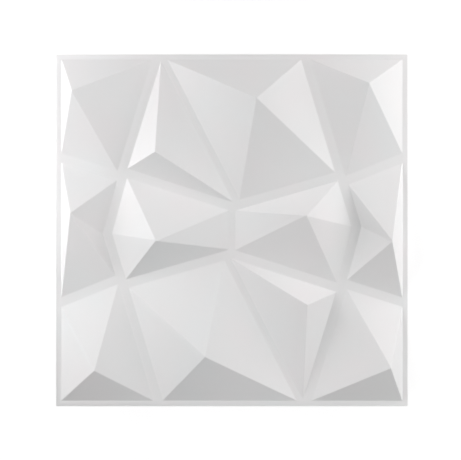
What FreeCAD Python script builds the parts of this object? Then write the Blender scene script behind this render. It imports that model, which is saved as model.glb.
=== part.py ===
import FreeCAD, Part
import os

from FreeCAD import Vector

# Square relief wall panel, formed in one piece from a thin plastic sheet. It lies flat on its back
# with its face up. The origin is the centre of the tile on the plane of its back, X runs to the
# right of the face and Y to its top edge. All sizes are millimetres.
#
# The face is a flat rim and flat strips, with one faceted gem in each of the twelve fields between
# them. A half turn about the centre carries the strips and fields onto themselves, so half of them
# are given here and the others are their twins. Behind each gem the sheet is hollow.

document = FreeCAD.newDocument("wall_panel_tile")
sheet = document.addObject("Spreadsheet::Sheet", "Sizes")
sizes = {
    "tile_side": 500.0,
    "sheet_thickness": 1.0,
    "rim_width": 7.6,
    "strip_width": 13.2,
    "narrow_strip_width": 9.5,
    # Where the strips' centrelines meet the tile's edges, measured from the middle of the edge.
    "top_edge_to_steep_strip": 104.8,
    "top_edge_to_wedge_strip": 101.0,
    "top_edge_to_long_strip": 102.8,
    "left_edge_to_strip": 104.6,
    "right_edge_to_strip": 105.5,
    # Where the centrelines fork, bend or end inside the tile, measured from its centre.
    "left_fork_across": 156.1,
    "left_fork_up": 83.6,
    "left_branch_across": 155.9,
    "left_branch_up": 75.1,
    "right_fork_across": 154.8,
    "right_fork_up": 77.9,
    "right_branch_across": 157.1,
    "right_branch_up": 67.9,
    "elbow_across": 177.2,
    "elbow_down": 5.2,
    "middle_fork_across": 1.1,
    "middle_fork_up": 33.5,
    "wedge_strip_end_across": 12.6,
    "wedge_strip_end_up": 29.8,
    # How far the gems stand out of the flat of the face. A gem and its twin are as tall.
    "corner_gem_height": 30.0,
    "wedge_gem_height": 31.0,
    "long_gem_height": 40.0,
    "low_corner_gem_height": 27.0,
    "side_gem_height": 38.0,
    "middle_gem_height": 35.0,
    # Where the gems peak. A gem along an edge of the tile is measured in from that edge, any other
    # from the centre. North is the top edge of the face and west its left edge.
    "north_west_peak_from_left": 22.3,
    "north_west_peak_from_top": 51.5,
    "wedge_peak_across": 109.4,
    "wedge_peak_up": 111.3,
    "north_peak_across": 35.1,
    "north_peak_from_top": 62.1,
    "north_east_peak_from_right": 54.9,
    "north_east_peak_from_top": 41.0,
    "west_peak_from_left": 20.4,
    "west_peak_up": 24.3,
    "middle_west_peak_across": 108.1,
    "middle_west_peak_down": 15.2,
    "middle_east_peak_across": 105.9,
    "middle_east_peak_up": 20.6,
    "east_peak_from_right": 22.0,
    "east_peak_down": 16.0,
    "south_west_peak_from_left": 54.6,
    "south_west_peak_from_bottom": 50.3,
    "south_peak_across": 37.9,
    "south_peak_from_bottom": 69.9,
    "lower_wedge_peak_across": 107.0,
    "lower_wedge_peak_down": 106.2,
    "south_east_peak_from_right": 23.9,
    "south_east_peak_from_bottom": 53.7,
}
for row, (name, value) in enumerate(sizes.items(), start=1):
    sheet.set(f"A{row}", name)
    sheet.set(f"B{row}", str(value))
    sheet.setAlias(f"B{row}", name)
document.recompute()

size = {name: float(sheet.get(name)) for name in sizes}
half_side = size["tile_side"] / 2
centre = Vector(0, 0, 0)

# The strips' centrelines run through these points.
left_fork = Vector(-size["left_fork_across"], size["left_fork_up"])
left_branch = Vector(-size["left_branch_across"], size["left_branch_up"])
right_fork = Vector(size["right_fork_across"], size["right_fork_up"])
right_branch = Vector(size["right_branch_across"], size["right_branch_up"])
elbow = Vector(-size["elbow_across"], -size["elbow_down"])
middle_fork = Vector(size["middle_fork_across"], size["middle_fork_up"])
wedge_strip_end = Vector(size["wedge_strip_end_across"], size["wedge_strip_end_up"])
steep_start = Vector(-size["top_edge_to_steep_strip"], half_side)
wedge_start = Vector(-size["top_edge_to_wedge_strip"], half_side)
long_start = Vector(size["top_edge_to_long_strip"], half_side)
left_start = Vector(-half_side, size["left_edge_to_strip"])
right_end = Vector(half_side, size["right_edge_to_strip"])
top_middle = Vector(0, half_side)
top_left = Vector(-half_side, half_side)
top_right = Vector(half_side, half_side)

# Each strip is two points of its centreline and its width. The rim counts as strips centred on the
# tile's edges, of which the inner half is on the tile.
wide = size["strip_width"]
narrow = size["narrow_strip_width"]
rim = 2 * size["rim_width"]
strips = {
    "steep": (steep_start, left_fork, wide),
    "wedge": (wedge_start, wedge_strip_end, narrow),
    "long": (long_start, right_fork, wide),
    "left": (left_start, left_branch, wide),
    "right": (right_branch, right_end, wide),
    "inner_left": (left_fork, middle_fork, wide),
    "inner_right": (middle_fork, right_fork, wide),
    "elbow_upper": (left_branch, elbow, wide),
    "elbow_lower": (elbow, -right_fork, wide),
    "middle": (top_middle, centre, narrow),
    "rim_top": (top_left, top_right, rim),
    "rim_left": (-top_right, top_left, rim),
}
for name, (start, end, width) in list(strips.items()):
    strips[name + "_twin"] = (-start, -end, width)
rim_edges = ("rim_top", "rim_top_twin", "rim_left", "rim_left_twin")

# Each gem is the strips round its field, taken clockwise, then where its peak stands on the face,
# as sums of the sheet's sizes, and the name of its height.
LEFT = "-Sizes.tile_side / 2"
RIGHT = "Sizes.tile_side / 2"
BOTTOM = LEFT
TOP = RIGHT
gems = {
    "north_west": (
        ("rim_top", "steep", "left", "rim_left"),
        f"{LEFT} + Sizes.north_west_peak_from_left",
        f"{TOP} - Sizes.north_west_peak_from_top",
        "corner_gem_height"),
    "wedge": (
        ("steep", "wedge", "inner_left"),
        "-Sizes.wedge_peak_across",
        "Sizes.wedge_peak_up",
        "wedge_gem_height"),
    "north": (
        ("rim_top", "long", "inner_right", "wedge"),
        "Sizes.north_peak_across",
        f"{TOP} - Sizes.north_peak_from_top",
        "long_gem_height"),
    "north_east": (
        ("rim_top", "rim_left_twin", "right", "long"),
        f"{RIGHT} - Sizes.north_east_peak_from_right",
        f"{TOP} - Sizes.north_east_peak_from_top",
        "low_corner_gem_height"),
    "west": (
        ("left", "elbow_upper", "elbow_lower", "right_twin", "rim_left"),
        f"{LEFT} + Sizes.west_peak_from_left",
        "Sizes.west_peak_up",
        "side_gem_height"),
    "middle_west": (
        ("inner_left", "middle", "inner_right_twin", "elbow_lower", "elbow_upper"),
        "-Sizes.middle_west_peak_across",
        "-Sizes.middle_west_peak_down",
        "middle_gem_height"),
    "middle_east": (
        ("inner_left_twin", "middle", "inner_right", "elbow_lower_twin", "elbow_upper_twin"),
        "Sizes.middle_east_peak_across",
        "Sizes.middle_east_peak_up",
        "middle_gem_height"),
    "east": (
        ("left_twin", "elbow_upper_twin", "elbow_lower_twin", "right", "rim_left_twin"),
        f"{RIGHT} - Sizes.east_peak_from_right",
        "-Sizes.east_peak_down",
        "side_gem_height"),
    "south_west": (
        ("rim_top_twin", "rim_left", "right_twin", "long_twin"),
        f"{LEFT} + Sizes.south_west_peak_from_left",
        f"{BOTTOM} + Sizes.south_west_peak_from_bottom",
        "low_corner_gem_height"),
    "south": (
        ("rim_top_twin", "long_twin", "inner_right_twin", "wedge_twin"),
        "-Sizes.south_peak_across",
        f"{BOTTOM} + Sizes.south_peak_from_bottom",
        "long_gem_height"),
    "lower_wedge": (
        ("steep_twin", "wedge_twin", "inner_left_twin"),
        "Sizes.lower_wedge_peak_across",
        "-Sizes.lower_wedge_peak_down",
        "wedge_gem_height"),
    "south_east": (
        ("rim_top_twin", "steep_twin", "left_twin", "rim_left_twin"),
        f"{RIGHT} - Sizes.south_east_peak_from_right",
        f"{BOTTOM} + Sizes.south_east_peak_from_bottom",
        "corner_gem_height"),
}


def facing_side(strip, peak):
    """Give a point, the direction and the way inward of a strip's side that faces the peak."""
    start, end, width = strips[strip]
    direction = (end - start).normalize()
    inward = Vector(-direction.y, direction.x, 0)
    if inward.dot(peak - start) < 0:
        inward = -inward
    return start + inward * (width / 2), direction, inward


def crossing(one_side, other_side):
    """Give the point where two straight sides in the plane cross."""
    point, direction, inward = one_side
    other_point, other_direction, other_inward = other_side
    along = (other_point - point).dot(other_inward) / direction.dot(other_inward)
    return point + direction * along


def trimmed(corners, side):
    """Cut an outline along a straight side and keep the part that lies inward of it."""
    point, direction, inward = side
    depths = [(corner - point).dot(inward) for corner in corners]
    kept = []
    for index, corner in enumerate(corners):
        depth, last_depth = depths[index], depths[index - 1]
        if depth * last_depth < 0:
            last = corners[index - 1]
            kept.append(last + (corner - last) * (last_depth / (last_depth - depth)))
        if depth >= 0:
            kept.append(corner)
    return kept


def field_corners(field_strips, peak):
    """Give a field's corners: where the facing sides of its strips cross, kept inside the rim."""
    sides = [facing_side(strip, peak) for strip in field_strips]
    corners = [crossing(sides[index - 1], side) for index, side in enumerate(sides)]
    for edge in rim_edges:
        if edge not in field_strips:
            corners = trimmed(corners, facing_side(edge, peak))
    return corners


def add_peak(gem, across, up, height):
    """Add the point where a gem's facets meet, on the inner face of the sheet."""
    peak = document.addObject("Part::Vertex", f"{gem}_peak")
    peak.setExpression("X", across)
    peak.setExpression("Y", up)
    peak.setExpression("Z", f"Sizes.{height}")
    return peak


def add_outline(gem, field_strips, peak):
    """Draw a gem's outline on the plane of the back, one line along each strip of its field."""
    corners = field_corners(field_strips, Vector(peak.X, peak.Y, 0))
    outline = document.addObject("Sketcher::SketchObject", f"{gem}_outline")
    outline.addGeometry(
        [Part.LineSegment(corners[index - 1], point) for index, point in enumerate(corners)])
    return outline


def add_gem(gem, outline, peak):
    """Add a gem's hollow, a pyramid on its outline, and the same pyramid raised by the sheet."""
    hollow = document.addObject("Part::Loft", f"{gem}_hollow")
    hollow.Sections = [outline, peak]
    hollow.Solid = True
    hollow.Ruled = True
    front = document.addObject("App::Link", f"{gem}_front")
    front.LinkedObject = hollow
    front.setExpression("Placement.Base.z", "Sizes.sheet_thickness")
    return hollow, front


def add_blank():
    """Add the flat square sheet that the tile is formed from."""
    blank = document.addObject("Part::Box", "blank")
    blank.setExpression("Length", "Sizes.tile_side")
    blank.setExpression("Width", "Sizes.tile_side")
    blank.setExpression("Height", "Sizes.sheet_thickness")
    blank.setExpression("Placement.Base.x", LEFT)
    blank.setExpression("Placement.Base.y", BOTTOM)
    return blank


peaks = {gem: add_peak(gem, across, up, height)
         for gem, (field, across, up, height) in gems.items()}
document.recompute()

hollows = []
fronts = []
for gem, (field, across, up, height) in gems.items():
    outline = add_outline(gem, field, peaks[gem])
    hollow, front = add_gem(gem, outline, peaks[gem])
    hollows.append(hollow)
    fronts.append(front)

# The sheet follows both pyramids of each gem, so its walls are as thick as the sheet when measured
# upwards, and thinner across a slope, where forming has drawn the sheet out.
face = document.addObject("Part::MultiFuse", "face")
face.Shapes = [add_blank()] + fronts
back = document.addObject("Part::Compound", "back")
back.Links = hollows
panel = document.addObject("Part::Cut", "panel")
panel.Base = face
panel.Tool = back
panel.Label = "wall_panel"
document.recompute()

for item in document.Objects:
    if "Invalid" in item.State or "Error" in item.State:
        raise RuntimeError(f"{item.Name} was not built")
for item in [panel, face, *hollows]:
    if item.Shape.isNull() or not item.Shape.isValid():
        raise RuntimeError(f"{item.Label} has no valid shape")
if len(panel.Shape.Solids) != 1:
    raise RuntimeError("the tile is not one solid")

os.makedirs("parts", exist_ok=True)
panel.Shape.exportStep(f"parts/{panel.Label}.step")
print(f"{panel.Label}: {panel.Shape.Volume / 1000:.1f} cm3, {len(panel.Shape.Faces)} faces")
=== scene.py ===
import math

import bmesh
import bpy
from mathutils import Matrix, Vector


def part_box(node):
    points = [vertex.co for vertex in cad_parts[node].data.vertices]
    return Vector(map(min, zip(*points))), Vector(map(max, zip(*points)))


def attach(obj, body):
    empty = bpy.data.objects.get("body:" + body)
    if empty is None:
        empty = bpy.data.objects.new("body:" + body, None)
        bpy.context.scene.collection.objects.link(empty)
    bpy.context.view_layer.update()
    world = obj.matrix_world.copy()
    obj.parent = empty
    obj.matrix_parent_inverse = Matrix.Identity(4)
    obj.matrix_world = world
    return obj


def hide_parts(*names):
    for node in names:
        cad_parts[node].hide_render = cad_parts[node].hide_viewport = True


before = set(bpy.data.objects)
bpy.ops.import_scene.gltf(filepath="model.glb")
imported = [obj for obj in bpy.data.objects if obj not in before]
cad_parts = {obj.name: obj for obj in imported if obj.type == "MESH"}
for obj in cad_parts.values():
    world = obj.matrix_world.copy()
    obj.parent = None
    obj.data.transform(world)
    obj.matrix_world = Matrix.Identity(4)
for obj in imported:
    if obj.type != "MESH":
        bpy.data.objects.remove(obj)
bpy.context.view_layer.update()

# A square wall panel of matt white plastic with a faceted relief, lying on its back on a white
# floor. The formed sheet keeps the CAD shape, with its ridges and creases softly rounded as
# forming leaves them. Lengths are metres, X runs to the right of the face and Y to its top edge.

bl_info = {
    "name": "Relief Wall Panel",
    "version": (1, 0, 0),
    "blender": (4, 5, 0),
    "location": "3D View > Sidebar > Wall Panel",
    "description": "Finishes a faceted wall panel in matt white plastic on a lit floor",
    "category": "Object",
}

NODE = "wall_panel"
BODY = "root"

# The panel's corners, the side of its square, and the middle of its underside.
PANEL_LOW, PANEL_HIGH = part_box(NODE)
PANEL_SIDE = PANEL_HIGH.x - PANEL_LOW.x
PANEL_CENTRE = (PANEL_LOW + PANEL_HIGH) / 2
PANEL_CENTRE.z = PANEL_LOW.z

# The photograph's frame, the panel's side in it, and how far to the right of its top left corner
# and how far below that corner the panel's centre lies, in pixels.
PHOTO_WIDTH = 461
PHOTO_HEIGHT = 460
PHOTO_PANEL_SIDE = 351.5
PHOTO_PANEL_ACROSS = 231.9
PHOTO_PANEL_DOWN = 230.1

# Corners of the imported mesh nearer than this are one, and faces that meet at less than this
# angle lie in one plane.
WELD_DISTANCE = 1e-5
FLAT_ANGLE = math.radians(0.5)

# The least value of a size that the script divides by.
LEAST_SIZE = 1e-5

# Smooth noise seldom leaves this range.
NOISE_LOW = 0.3
NOISE_HIGH = 0.7

# The colour of light without a tint, and the strength at which a glow is just white to the eye.
WHITE = (1.0, 1.0, 1.0, 1.0)
WHITE_STRENGTH = 1.0

# Each lamp is a round soft light aimed at the panel's centre: its place from there, its width,
# its power in watts and its tint. The far and the high ones light the whole face. The near and
# the low ones are weak, and even out the strips, the rim and the facets on their own side.
LAMPS = {
    "right_far": ((1.32, 0.76, 0.95), 0.8, 10.5, (1.0, 0.99, 1.0)),
    "left_far": ((-1.32, 0.76, 0.95), 0.8, 10.8, (1.0, 0.98, 0.98)),
    "right_high": ((0.96, 0.55, 1.42), 0.8, 4.0, (1.0, 0.98, 0.97)),
    "left_near": ((-0.52, 0.0, 0.47), 0.35, 1.2, (0.99, 1.0, 1.0)),
    "lower_near": ((0.0, -0.5, 0.3), 0.25, 0.41, (0.99, 0.98, 1.0)),
    "lower_right_near": ((0.52, -0.3, 0.35), 0.35, 0.44, (0.97, 1.0, 0.96)),
    "upper_right_low": ((0.59, 0.34, 0.15), 0.35, 1.1, (1.0, 0.96, 0.95)),
    "upper_left_low": ((-0.59, 0.34, 0.15), 0.35, 1.0, (1.0, 0.98, 1.0)),
    "right_low": ((0.68, 0.0, 0.15), 0.35, 0.45, (0.93, 0.96, 1.0)),
    "left_low": ((-0.68, 0.0, 0.15), 0.35, 0.28, (0.93, 0.96, 1.0)),
    "lower_right_low": ((0.59, -0.34, 0.15), 0.35, 0.29, (1.0, 0.97, 0.97)),
    "lower_left_low": ((-0.59, -0.34, 0.15), 0.35, 0.24, (1.0, 0.99, 0.95)),
}


class PanelFinish(bpy.types.PropertyGroup):
    """Rounding and surface of the formed sheet."""

    fold_reach: bpy.props.FloatProperty(
        name="Fold reach",
        description="How far the rounding of a ridge or crease reaches to each side",
        default=0.001, min=LEAST_SIZE, unit="LENGTH")
    back_fold_reach: bpy.props.FloatProperty(
        name="Back fold reach",
        description="How far the rounding of a fold of the hollow back reaches",
        default=0.0005, min=0.0, unit="LENGTH")
    cut_edge_reach: bpy.props.FloatProperty(
        name="Cut edge reach",
        description="How far the rounding of the sheet's cut edge reaches",
        default=0.0002, min=0.0, unit="LENGTH")
    rounding_steps: bpy.props.IntProperty(
        name="Rounding steps",
        description="Number of faces across each rounding",
        default=3, min=1)
    colour: bpy.props.FloatVectorProperty(
        name="Colour",
        description="Colour of the plastic",
        default=(0.80, 0.80, 0.80), min=0.0, max=1.0, size=3, subtype="COLOR")
    warm_tone: bpy.props.FloatVectorProperty(
        name="Warm tone",
        description="Colour where the plastic is warmest",
        default=(0.81, 0.797, 0.80), min=0.0, max=1.0, size=3, subtype="COLOR")
    cool_tone: bpy.props.FloatVectorProperty(
        name="Cool tone",
        description="Colour where the plastic is coolest",
        default=(0.792, 0.803, 0.804), min=0.0, max=1.0, size=3, subtype="COLOR")
    tone_patch: bpy.props.FloatProperty(
        name="Tone patch",
        description="Width of a patch of one tone",
        default=0.08, min=LEAST_SIZE, unit="LENGTH")
    refraction: bpy.props.FloatProperty(
        name="Refraction",
        description="Index of refraction of the plastic",
        default=1.5, min=1.0)
    gloss_patch: bpy.props.FloatProperty(
        name="Gloss patch",
        description="Width of a patch of one gloss",
        default=0.027, min=LEAST_SIZE, unit="LENGTH")
    roughness_low: bpy.props.FloatProperty(
        name="Lowest roughness",
        description="Roughness of the smoothest patches",
        default=0.46, min=0.0, max=1.0, subtype="FACTOR")
    roughness_high: bpy.props.FloatProperty(
        name="Highest roughness",
        description="Roughness of the dullest patches",
        default=0.56, min=0.0, max=1.0, subtype="FACTOR")
    ripple_size: bpy.props.FloatProperty(
        name="Ripple size",
        description="Width of the faint ripples that forming leaves",
        default=0.035, min=LEAST_SIZE, unit="LENGTH")
    ripple_depth: bpy.props.FloatProperty(
        name="Ripple depth",
        description="Height of the faint ripples",
        default=0.00005, min=0.0, unit="LENGTH")
    grain_size: bpy.props.FloatProperty(
        name="Grain size",
        description="Width of one grain of the matt surface",
        default=0.0008, min=LEAST_SIZE, unit="LENGTH")
    grain_depth: bpy.props.FloatProperty(
        name="Grain depth",
        description="Height of the grain",
        default=0.000008, min=0.0, unit="LENGTH")


class StudioStage(bpy.types.PropertyGroup):
    """Floor, light and camera round the panel."""

    floor_side: bpy.props.FloatProperty(
        name="Floor side",
        description="Side of the square floor",
        default=8.0, min=PANEL_SIDE, unit="LENGTH")
    floor_drop: bpy.props.FloatProperty(
        name="Floor drop",
        description="How far the floor lies under the panel, so that the two don't share a plane",
        default=0.0001, min=0.0, unit="LENGTH")
    floor_colour: bpy.props.FloatVectorProperty(
        name="Floor colour",
        description="Colour of the floor",
        default=(0.5, 0.5, 0.5), min=0.0, max=1.0, size=3, subtype="COLOR")
    floor_glow_near: bpy.props.FloatProperty(
        name="Floor glow near",
        description="Strength of the glow that whitens the floor beside the panel",
        default=0.6, min=0.0)
    floor_glow_far: bpy.props.FloatProperty(
        name="Floor glow far",
        description="Strength of the glow that whitens the floor far from the panel",
        default=WHITE_STRENGTH, min=0.0)
    floor_glow_reach: bpy.props.FloatProperty(
        name="Floor glow reach",
        description="How far from the panel's centre the floor is whitest",
        default=1.0, min=PANEL_SIDE, unit="LENGTH")
    ambient: bpy.props.FloatProperty(
        name="Ambient",
        description="Strength of the even light from all round",
        default=0.0, min=0.0)
    camera_distance: bpy.props.FloatProperty(
        name="Camera distance",
        description="Height of the camera over the floor",
        default=16.0, min=PANEL_SIDE, unit="LENGTH")


def add_node(tree, kind, settings=None, inputs=None):
    """Add a node to a tree, and set its own settings and its inputs, both by name."""
    node = tree.nodes.new(kind)
    for name, value in (settings or {}).items():
        setattr(node, name, value)
    for name, value in (inputs or {}).items():
        node.inputs[name].default_value = value
    return node


def new_material(name):
    """Make an empty material and give it with its node tree and its output node."""
    material = bpy.data.materials.new(name)
    material.use_nodes = True
    tree = material.node_tree
    tree.nodes.clear()
    output = add_node(tree, "ShaderNodeOutputMaterial")
    return material, tree, output


def add_noise(tree, place, patch, detail):
    """Add smooth noise, read at the given place, whose patches are about as wide as given.

    Each step of detail adds fainter noise of half the width."""
    noise = add_node(tree, "ShaderNodeTexNoise", inputs={"Scale": 1 / patch, "Detail": detail})
    tree.links.new(place, noise.inputs["Vector"])
    return noise.outputs["Fac"]


def add_relief(tree, height, depth, below=None):
    """Add a bump that stands as high as the given depth where the height is one."""
    bump = add_node(tree, "ShaderNodeBump", inputs={"Distance": depth})
    tree.links.new(height, bump.inputs["Height"])
    if below is not None:
        tree.links.new(below, bump.inputs["Normal"])
    return bump.outputs["Normal"]


def matt_plastic(finish):
    """Make the white plastic: faint warm and cool tones, uneven gloss, ripples, a fine grain."""
    material, tree, output = new_material("matt_white_plastic")
    place = add_node(tree, "ShaderNodeTexCoord").outputs["Object"]

    tone = add_node(tree, "ShaderNodeValToRGB")
    stops = tone.color_ramp.elements
    stops[0].position, stops[1].position = NOISE_LOW, NOISE_HIGH
    stops[0].color = (*finish.cool_tone, 1)
    stops[1].color = (*finish.warm_tone, 1)
    stops.new((NOISE_LOW + NOISE_HIGH) / 2).color = (*finish.colour, 1)
    tree.links.new(add_noise(tree, place, finish.tone_patch, detail=2.0), tone.inputs["Fac"])

    gloss = add_node(tree, "ShaderNodeMapRange", inputs={
        "From Min": NOISE_LOW, "From Max": NOISE_HIGH,
        "To Min": finish.roughness_low, "To Max": finish.roughness_high})
    tree.links.new(add_noise(tree, place, finish.gloss_patch, detail=4.0), gloss.inputs["Value"])

    ripples = add_relief(
        tree, add_noise(tree, place, finish.ripple_size, detail=1.0), finish.ripple_depth)
    grain = add_relief(
        tree, add_noise(tree, place, finish.grain_size, detail=2.0), finish.grain_depth, ripples)

    plastic = add_node(tree, "ShaderNodeBsdfPrincipled", inputs={"IOR": finish.refraction})
    tree.links.new(tone.outputs["Color"], plastic.inputs["Base Color"])
    tree.links.new(gloss.outputs["Result"], plastic.inputs["Roughness"])
    tree.links.new(grain, plastic.inputs["Normal"])
    tree.links.new(plastic.outputs["BSDF"], output.inputs["Surface"])
    return material


def white_seen(tree):
    """Give a factor that is one where the camera or a reflection looks, and nought elsewhere."""
    path = add_node(tree, "ShaderNodeLightPath")
    seen = path.outputs["Is Camera Ray"]
    for kind in ("Is Glossy Ray", "Is Transmission Ray"):
        more = add_node(tree, "ShaderNodeMath", {"operation": "MAXIMUM"})
        tree.links.new(seen, more.inputs[0])
        tree.links.new(path.outputs[kind], more.inputs[1])
        seen = more.outputs["Value"]
    return seen


def white_floor(stage):
    """Make the floor: matt, and whitened by a glow that only the eye sees.

    The glow grows outwards, and beside the panel it is weak enough for the shadow to show."""
    material, tree, output = new_material("white_floor")
    place = add_node(tree, "ShaderNodeTexCoord").outputs["Object"]
    away = add_node(tree, "ShaderNodeVectorMath", {"operation": "LENGTH"})
    tree.links.new(place, away.inputs[0])
    glow = add_node(tree, "ShaderNodeMapRange", {"interpolation_type": "SMOOTHSTEP"}, {
        "From Min": PANEL_SIDE / 2, "From Max": stage.floor_glow_reach,
        "To Min": stage.floor_glow_near, "To Max": stage.floor_glow_far})
    tree.links.new(away.outputs["Value"], glow.inputs["Value"])
    strength = add_node(tree, "ShaderNodeMath", {"operation": "MULTIPLY"})
    tree.links.new(glow.outputs["Result"], strength.inputs[0])
    tree.links.new(white_seen(tree), strength.inputs[1])

    matt = add_node(tree, "ShaderNodeBsdfDiffuse", inputs={"Color": (*stage.floor_colour, 1)})
    shine = add_node(tree, "ShaderNodeEmission")
    both = add_node(tree, "ShaderNodeAddShader")
    tree.links.new(strength.outputs["Value"], shine.inputs["Strength"])
    tree.links.new(matt.outputs["BSDF"], both.inputs[0])
    tree.links.new(shine.outputs["Emission"], both.inputs[1])
    tree.links.new(both.outputs["Shader"], output.inputs["Surface"])
    return material


def white_world(stage):
    """Make the surroundings: white to the eye, and as bright as the ambient to all else."""
    world = bpy.data.worlds.new("white_surroundings")
    world.use_nodes = True
    tree = world.node_tree
    background = tree.nodes["Background"]
    background.inputs["Color"].default_value = WHITE
    strength = add_node(tree, "ShaderNodeMapRange", inputs={
        "To Min": stage.ambient, "To Max": WHITE_STRENGTH})
    tree.links.new(white_seen(tree), strength.inputs["Value"])
    tree.links.new(strength.outputs["Result"], background.inputs["Strength"])
    return world


def joined_copy(node):
    """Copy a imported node's mesh, whose triangles are loose.

    Corners in one place become one corner, and the triangles of one plane one face."""
    solid = bmesh.new()
    solid.from_mesh(node.data)
    bmesh.ops.remove_doubles(solid, verts=solid.verts, dist=WELD_DISTANCE)
    bmesh.ops.dissolve_limit(
        solid, angle_limit=FLAT_ANGLE, verts=solid.verts, edges=solid.edges)
    return solid


def on_cut_edge(edge):
    """Tell whether an edge lies on one of the four sides where the sheet was cut."""
    middle = (edge.verts[0].co + edge.verts[1].co) / 2 - PANEL_CENTRE
    return max(abs(middle.x), abs(middle.y)) > PANEL_SIDE / 2 - WELD_DISTANCE


def on_back(edge):
    """Tell whether an edge is a fold of the sheet's hollow back, where both faces look down."""
    return all(face.normal.z < -math.sin(FLAT_ANGLE) for face in edge.link_faces)


def weigh_folds(solid, finish):
    """Give each fold of the sheet its share of the rounding, and a seam in a plane none."""
    share = solid.edges.layers.float.new("bevel_weight_edge")
    for edge in solid.edges:
        if edge.calc_face_angle() < FLAT_ANGLE:
            reach = 0.0
        elif on_cut_edge(edge):
            reach = finish.cut_edge_reach
        elif on_back(edge):
            reach = finish.back_fold_reach
        else:
            reach = finish.fold_reach
        edge[share] = reach / finish.fold_reach


class PANEL_OT_add_panel(bpy.types.Operator):
    """Add the formed sheet with rounded folds in matt white plastic"""

    bl_idname = "wall_panel.add_panel"
    bl_label = "Add Panel"

    def execute(self, context):
        finish = context.scene.panel_finish
        panel = bpy.data.objects.new("formed_sheet", self.formed_mesh(finish))
        context.scene.collection.objects.link(panel)
        self.round_folds(panel, finish)
        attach(panel, BODY)
        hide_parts(NODE)
        return {"FINISHED"}

    def formed_mesh(self, finish):
        """Make the sheet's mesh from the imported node, with a weight on each fold."""
        solid = joined_copy(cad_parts[NODE])
        weigh_folds(solid, finish)
        for face in solid.faces:
            face.smooth = True
        mesh = bpy.data.meshes.new("formed_sheet")
        solid.to_mesh(mesh)
        solid.free()
        mesh.materials.append(matt_plastic(finish))
        return mesh

    def round_folds(self, panel, finish):
        """Round each fold as far as its weight says, and leave the planes between them flat."""
        rounding = panel.modifiers.new("rounded_folds", "BEVEL")
        rounding.limit_method = "WEIGHT"
        rounding.width = finish.fold_reach
        rounding.segments = finish.rounding_steps
        rounding.use_clamp_overlap = False
        rounding.harden_normals = True


class PANEL_OT_add_stage(bpy.types.Operator):
    """Add the floor, the surroundings, the lamps and the camera"""

    bl_idname = "wall_panel.add_stage"
    bl_label = "Add Stage"

    def execute(self, context):
        stage = context.scene.studio_stage
        context.scene.view_settings.view_transform = "Standard"
        self.add_floor(context, stage)
        context.scene.world = white_world(stage)
        for name, (place, width, power, tint) in LAMPS.items():
            self.add_lamp(context, name, Vector(place), width, power, tint)
        self.add_camera(context, stage)
        return {"FINISHED"}

    def add_floor(self, context, stage):
        """Add a square floor right under the panel's back."""
        reach, level = stage.floor_side / 2, PANEL_LOW.z - stage.floor_drop
        corners = [(-reach, -reach), (reach, -reach), (reach, reach), (-reach, reach)]
        mesh = bpy.data.meshes.new("floor")
        mesh.from_pydata([(x, y, level) for x, y in corners], [], [(0, 1, 2, 3)])
        mesh.materials.append(white_floor(stage))
        floor = bpy.data.objects.new("floor", mesh)
        context.scene.collection.objects.link(floor)

    def add_lamp(self, context, name, place, width, power, tint):
        """Add a round soft lamp that the camera doesn't see, aimed at the panel's centre."""
        light = bpy.data.lights.new(name, "AREA")
        light.shape = "DISK"
        light.size = width
        light.energy = power
        light.color = tint
        lamp = bpy.data.objects.new(name, light)
        lamp.location = PANEL_CENTRE + place
        lamp.rotation_euler = (-place).to_track_quat("-Z", "Y").to_euler()
        lamp.visible_camera = False
        context.scene.collection.objects.link(lamp)

    def add_camera(self, context, stage):
        """Add a camera that looks straight down on the panel, framed as in the photograph."""
        metres_a_pixel = PANEL_SIDE / PHOTO_PANEL_SIDE
        data = bpy.data.cameras.new("camera")
        data.lens = data.sensor_width * stage.camera_distance / (PHOTO_WIDTH * metres_a_pixel)
        data.clip_end = 2 * stage.camera_distance
        camera = bpy.data.objects.new("camera", data)
        across = (PHOTO_WIDTH / 2 - PHOTO_PANEL_ACROSS) * metres_a_pixel
        up = (PHOTO_PANEL_DOWN - PHOTO_HEIGHT / 2) * metres_a_pixel
        camera.location = PANEL_CENTRE + Vector((across, up, stage.camera_distance))
        context.scene.collection.objects.link(camera)
        context.scene.camera = camera


class PANEL_PT_sidebar(bpy.types.Panel):
    """Lists the pieces and the sizes and colours that they are made with"""

    bl_idname = "PANEL_PT_sidebar"
    bl_label = "Wall Panel"
    bl_space_type = "VIEW_3D"
    bl_region_type = "UI"
    bl_category = "Wall Panel"

    def draw(self, context):
        for group, operator in (
                (context.scene.panel_finish, PANEL_OT_add_panel),
                (context.scene.studio_stage, PANEL_OT_add_stage)):
            box = self.layout.box()
            for name in group.__annotations__:
                box.prop(group, name)
            box.operator(operator.bl_idname)


CLASSES = (PanelFinish, StudioStage, PANEL_OT_add_panel, PANEL_OT_add_stage, PANEL_PT_sidebar)


def register():
    """Register the classes, and keep their settings with the scene."""
    for item in CLASSES:
        bpy.utils.register_class(item)
    bpy.types.Scene.panel_finish = bpy.props.PointerProperty(type=PanelFinish)
    bpy.types.Scene.studio_stage = bpy.props.PointerProperty(type=StudioStage)


def unregister():
    """Undo what register does."""
    del bpy.types.Scene.studio_stage
    del bpy.types.Scene.panel_finish
    for item in reversed(CLASSES):
        bpy.utils.unregister_class(item)


def main():
    """Make the panel and its stage."""
    register()
    bpy.ops.wall_panel.add_panel()
    bpy.ops.wall_panel.add_stage()


if __name__ == "__main__":
    main()
